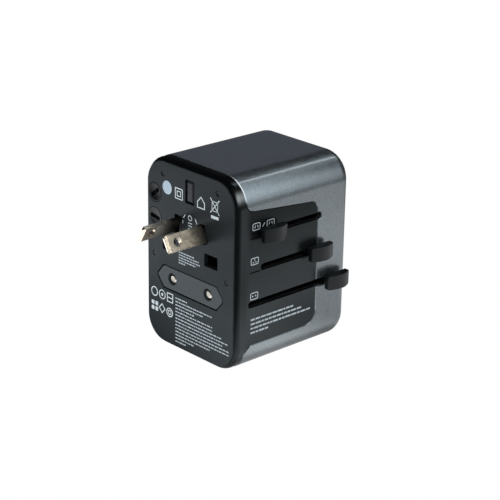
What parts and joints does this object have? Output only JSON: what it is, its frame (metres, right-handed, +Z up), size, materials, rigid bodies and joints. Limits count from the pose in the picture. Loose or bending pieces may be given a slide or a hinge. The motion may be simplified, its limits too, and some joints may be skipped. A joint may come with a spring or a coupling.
{
  "type": "universal travel adapter",
  "caption": "Boxy travel adapter with sliding flat, rectangular and round mains pins, side sliders, a universal socket and charging ports.",
  "frame": {"origin": "on the plug face, midway across its width and height", "axes": "+Z up as it stands, -Y out of the plug face along the pins, +X towards the sliders"},
  "size_m": [0.0529, 0.0713, 0.0706],
  "materials": {
    "sleeve": "satin gunmetal lacquer",
    "black_plastic": "fine moulded texture",
    "face_plastic": "fine moulded texture",
    "knob_plastic": "satin moulded",
    "nose_plastic": "satin moulded",
    "inner_plastic": "plain moulded",
    "white_plastic": "plain moulded",
    "pin_plastic": "satin moulded",
    "nickel": "nickel plate, fine drawn lines",
    "brass": "plain",
    "steel": "plain",
    "screw_steel": "black zinc",
    "ceramic": "glazed ceramic tube with end caps",
    "pcb": "solder mask",
    "magnet_wire": "lacquered copper winding",
    "tape_yellow": "insulating tape",
    "capacitor_sleeve": "shrink sleeve",
    "chip_plastic": "moulded epoxy",
    "wire_red": "wire insulation",
    "clear_plastic": "clear moulded"
  },
  "bodies": {
    "housing": {"sleeve": "sleeve", "housing": "black_plastic", "plug_face_plate": "face_plastic", "cover_screws": "screw_steel", "socket_plate": "black_plastic", "port_panel": "black_plastic", "mid_frame": "inner_plastic", "fuse_holders": "inner_plastic", "fuse": "ceramic", "spare_fuse": "ceramic", "fuse_end_contacts": "brass", "live_contact": "brass", "neutral_contact": "brass", "live_busbar": "brass", "neutral_busbar": "brass", "mains_wires": "wire_red", "charger_pcb": "pcb", "transformer": "tape_yellow", "capacitors": "capacitor_sleeve", "inductor": "magnet_wire", "chips": "chip_plastic", "usb_a_shells": "steel", "usb_a_tongues": "white_plastic", "usb_c_shells": "steel", "usb_c_tongues": "chip_plastic", "pcb_screws": "steel", "status_led": "clear_plastic", "light_pipe": "clear_plastic"},
    "flat_pin_set": {"us_carriage": "inner_plastic", "blade_retainer": "inner_plastic", "us_knob": "knob_plastic"},
    "left_flat_blade": {"left_blade": "nickel", "left_blade_hub": "inner_plastic"},
    "right_flat_blade": {"right_blade": "nickel", "right_blade_hub": "inner_plastic"},
    "rectangular_pin_set": {"uk_carriage": "inner_plastic", "uk_pins": "nickel", "uk_pin_sleeves": "pin_plastic", "uk_earth_pin": "pin_plastic", "uk_knob": "knob_plastic"},
    "round_pin_set": {"eu_carriage": "inner_plastic", "eu_pins": "nickel", "eu_pin_sleeves": "pin_plastic", "eu_knob": "knob_plastic"},
    "round_pin_nose": {"eu_nose": "nose_plastic"},
    "fuse_cap": {"fuse_cap": "face_plastic"},
    "spare_fuse_cap": {"spare_fuse_cap": "face_plastic"},
    "shutter": {"safety_shutter": "white_plastic", "shutter_spring": "steel"}
  },
  "joints": [
    {"name": "flat_pin_slide", "type": "slide", "parent": "housing", "child": "flat_pin_set", "axis": [0, 1, 0], "range_m": [0, 0.0228]},
    {"name": "left_blade_turn", "type": "hinge", "parent": "flat_pin_set", "child": "left_flat_blade", "pos_m": [-0.00686, 0, 0.0128], "axis": [0, -1, 0], "range_deg": [0, 30]},
    {"name": "right_blade_turn", "type": "hinge", "parent": "flat_pin_set", "child": "right_flat_blade", "pos_m": [0.00686, 0, 0.0128], "axis": [0, 1, 0], "range_deg": [0, 30]},
    {"name": "rectangular_pin_slide", "type": "slide", "parent": "housing", "child": "rectangular_pin_set", "axis": [0, -1, 0], "range_m": [0, 0.0224]},
    {"name": "round_pin_slide", "type": "slide", "parent": "housing", "child": "round_pin_set", "axis": [0, -1, 0], "range_m": [0, 0.0365]},
    {"name": "nose_slide", "type": "slide", "parent": "housing", "child": "round_pin_nose", "axis": [0, -1, 0], "range_m": [0, 0.01701]},
    {"name": "fuse_cap_turn", "type": "hinge", "parent": "housing", "child": "fuse_cap", "pos_m": [-0.0188, 0, 0.0215], "axis": [0, -1, 0], "range_deg": [-90, 0]},
    {"name": "spare_fuse_cap_turn", "type": "hinge", "parent": "housing", "child": "spare_fuse_cap", "pos_m": [-0.0188, 0, 0.0123], "axis": [0, -1, 0], "range_deg": [-90, 0]},
    {"name": "shutter_slide", "type": "slide", "parent": "housing", "child": "shutter", "axis": [0, 0, -1], "range_m": [0, 0.012], "deforming": ["shutter_spring"]}
  ],
  "couplings": [
    {"joint": "nose_slide", "follows": "round_pin_slide", "ratio": 0.466}
  ]
}
